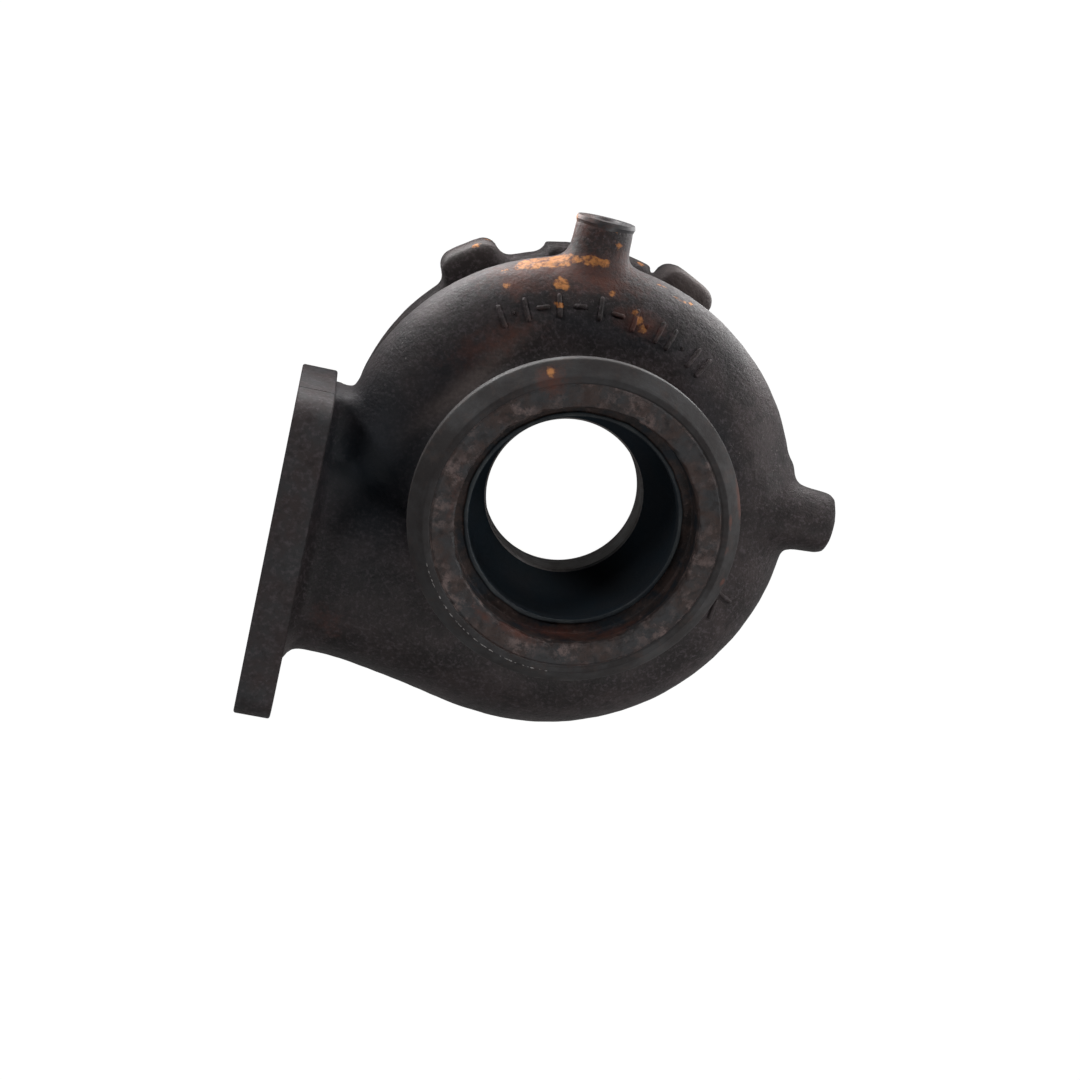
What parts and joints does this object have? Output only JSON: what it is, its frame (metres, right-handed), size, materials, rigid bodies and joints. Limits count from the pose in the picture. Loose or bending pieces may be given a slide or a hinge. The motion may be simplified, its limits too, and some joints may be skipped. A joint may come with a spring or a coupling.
{
  "type": "turbocharger turbine housing",
  "caption": "Cast iron turbine housing: spiral gas scroll round an axial outlet with a clamp rim, side inlet flange, rear flange with lugs, sensor boss and side boss.",
  "frame": {"origin": "on the turbine axis in the rear face that meets the bearing housing", "axes": "+Z along the turbine axis towards the outlet, -X out of the inlet flange, +Y along the sensor boss"},
  "size_m": [0.1631, 0.1629, 0.088],
  "materials": {
    "cast_iron": "sand cast, sooty brown oxide with small rust spots; outlet, bores and flange faces machined"
  },
  "bodies": {
    "root": {"turbine_housing": "cast_iron"}
  },
  "joints": []
}
